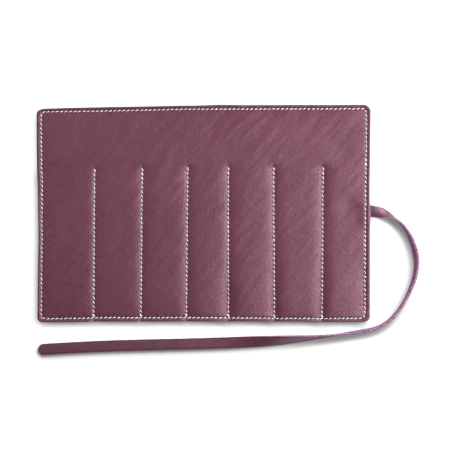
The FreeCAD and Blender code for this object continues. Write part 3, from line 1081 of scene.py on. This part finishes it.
# Each panel's upper edge, top and underside, materials, dimples, and its grid's finest and
# coarsest spacing in mm.
PANELS = {
    "cover": (TOP, rippled_cover, cover_under, COVER_MATERIALS, 1, 0.42, 1.6),
    "lining": (TOP, lining_top, lining_under, LINING_MATERIALS, 0, 1.4, 3.0),
    "pocket": (MOUTH, pocket_top, pocket_under, POCKET_MATERIALS, -1, 0.5, 1.6),
}

for section in range(1, BAY_COUNT):
    for panel_kind, settings in PANELS.items():
        make_panel(panel_kind, section, *settings)


def under_face(x, y):
    """The face that a stitch lies on underneath: pocket leather, or lining past the mouth."""
    return np.where(y < MOUTH, pocket_under(x, y), lining_under(x, y))


def make_seams():
    """The edge seam, cut up by section, and the divider seams, on both faces."""
    edge = edge_stitches()
    middles = edge_path(np.array([along for along, _, _ in edge]))[0]
    for number in range(1, BAY_COUNT):
        start, end = section_ends(number)
        here = [stitch for stitch, x in zip(edge, middles) if start <= x < end]
        divider = [f"divider_stitching_{number}"]
        seams = [
            (f"edge_seam_{number}", edge_path, here, replaced_nodes("edge_stitching", number)),
            (f"divider_seam_{number}", divider_path(number - 1), divider_stitches(), divider),
        ]
        for kind, (name, path, stitches, nodes) in enumerate(seams):
            seed = SEED + 10 * number + kind
            over, over_faces = add_stitches(path, stitches, rippled_cover, False, seed)
            under, under_faces = add_stitches(path, stitches, under_face, True, seed)
            points = np.concatenate([over, under])
            faces = np.concatenate([over_faces, under_faces + len(over)]).tolist()
            piece = new_mesh(name, points, faces, [THREAD])
            across_fold(piece)
            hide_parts(*nodes)


make_seams()

ANCHOR_THICK = 0.1


def make_anchor():
    """The strap's thin sewn-in end, between the lining and the pocket leather."""
    length = (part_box("strap_anchor")[1].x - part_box("strap_anchor")[0].x) / MM
    columns = np.linspace(RIGHT - length, RIGHT, 12)
    rows = np.linspace(STRAP_ROOT - HALF_STRAP, STRAP_ROOT + HALF_STRAP, 10)
    grid_x, grid_y = np.meshgrid(columns, rows, indexing="ij")
    upper = lining_under(grid_x, grid_y) - 0.02
    points = np.concatenate([
        grid_points(grid_x, grid_y, upper),
        grid_points(grid_x, grid_y, upper - ANCHOR_THICK),
    ])
    faces = np.concatenate(sheet_faces(grid_x.shape)[:3]).tolist()
    piece = new_mesh("strap_anchor_skin", points, faces, [STRAP_LEATHER])
    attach(piece, "bay_7")
    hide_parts("strap_anchor")


make_anchor()

# ---- floor and light ----

# In metres, except OPENING, the opening's distance inside the case's outline, in mm.
FLOOR_REACH = 3.0
OPENING = 9.0
LOWER_FLOOR = -0.16
# How far the floor's painted shadow reaches, and the way towards the light that it looks.
SHADOW_REACH = 0.0096
CONTACT_REACH = 0.012
TOWARDS_LIGHT = {"X": 0.489, "Y": 0.847, "Z": 0.208}
# Each light's place, diameter, power and colour. All point at the origin.
LIGHTS = {
    "key": ((0.55, 0.02, 0.92), 0.40, 7.7, (1, 1, 1)),
    "top": ((0.80, 0.95, 0.42), 0.70, 17, (1, 1, 1)),
    "fill": ((-0.42, 0.28, 0.55), 0.35, 1.05, (0.80, 0.84, 1)),
}
# The surroundings' strength, below the first height and above the second.
SURROUND_HEIGHTS = (0.12, 0.42)
SURROUND_STRENGTHS = (1.05, 0.20)


def pale_floor():
    """A glowing white floor with a painted shadow: greyer where a piece stands close by towards
    the light, and under the pieces.
    """
    nodes = Nodes("floor_painted_shadow")
    towards_light = nodes.add("ShaderNodeCombineXYZ", TOWARDS_LIGHT).outputs[0]
    near = nodes.add(
        "ShaderNodeAmbientOcclusion",
        {"Distance": SHADOW_REACH, "Normal": towards_light},
        samples=16,
    )
    below = nodes.add("ShaderNodeAmbientOcclusion", {"Distance": CONTACT_REACH}, samples=8)
    # Painted shadow: the floor's glow and colour go grey by ambient occlusion, tilted towards the
    # light and straight up.
    bare = nodes.ranged(below.outputs["AO"], 0, 1, 0.05, 0.45)
    lit = nodes.ranged(near.outputs["AO"], 0, 1, 0.64, 0.92)
    open_share = nodes.combined("MULTIPLY", bare, lit)
    white = nodes.mixed(open_share, (0.2, 0.2, 0.2), (0.95, 0.95, 0.95))
    dim = nodes.mixed(open_share, (0.05, 0.05, 0.05), (0.25, 0.25, 0.25))
    nodes.put(nodes.surface, "Base Color", dim)
    nodes.put(nodes.surface, "Roughness", 0.9)
    nodes.put(nodes.surface, "Specular IOR Level", 0.0)
    nodes.put(nodes.surface, "Emission Color", white)
    nodes.put(nodes.surface, "Emission Strength", 1.0)
    return nodes.material


def make_floor():
    """A pale floor with an opening under the case, into which the bays roll down, and a
    second floor below the opening."""
    white = pale_floor()
    low_x = (LEFT + OPENING) * MM
    high_x = (RIGHT - OPENING) * MM
    low_y = (BOTTOM + OPENING) * MM
    high_y = (TOP - OPENING) * MM
    far = FLOOR_REACH
    outer = [(-far, -far, 0), (far, -far, 0), (far, far, 0), (-far, far, 0)]
    inner = [(low_x, low_y, 0), (high_x, low_y, 0), (high_x, high_y, 0), (low_x, high_y, 0)]
    faces = [(0, 1, 5, 4), (1, 2, 6, 5), (2, 3, 7, 6), (3, 0, 4, 7)]
    upper = bpy.data.meshes.new("floor")
    upper.from_pydata(outer + inner, [], faces)
    lower = bpy.data.meshes.new("lower_floor")
    lower.from_pydata([(x, y, LOWER_FLOOR) for x, y, _ in outer], [], [(0, 1, 2, 3)])
    for mesh in (upper, lower):
        mesh.materials.append(white)
        add_object(mesh.name, mesh)


def make_lights():
    """Soft lights from the right, the top and the left, in a room that is white low down."""
    for name, (place, size, power, colour) in LIGHTS.items():
        data = bpy.data.lights.new(name, "AREA")
        data.shape = "DISK"
        data.size = size
        data.energy = power
        data.color = colour
        light = add_object(name, data)
        light.location = place
        light.rotation_mode = "QUATERNION"
        light.rotation_quaternion = (-Vector(place)).to_track_quat("-Z", "Y")
    world = bpy.data.worlds.new("surround")
    world.use_nodes = True
    tree = world.node_tree
    direction = tree.nodes.new("ShaderNodeTexCoord").outputs["Generated"]
    parts = tree.nodes.new("ShaderNodeSeparateXYZ")
    tree.links.new(direction, parts.inputs[0])
    strength = tree.nodes.new("ShaderNodeMapRange")
    tree.links.new(parts.outputs["Z"], strength.inputs["Value"])
    limits = (*SURROUND_HEIGHTS, *SURROUND_STRENGTHS)
    for key, value in zip(("From Min", "From Max", "To Min", "To Max"), limits):
        strength.inputs[key].default_value = value
    background = tree.nodes["Background"]
    tree.links.new(strength.outputs["Result"], background.inputs["Strength"])
    background.inputs["Color"].default_value = (1.0, 1.0, 1.0, 1.0)
    bpy.context.scene.world = world
    bpy.context.scene.view_settings.view_transform = "Standard"


make_floor()
make_lights()
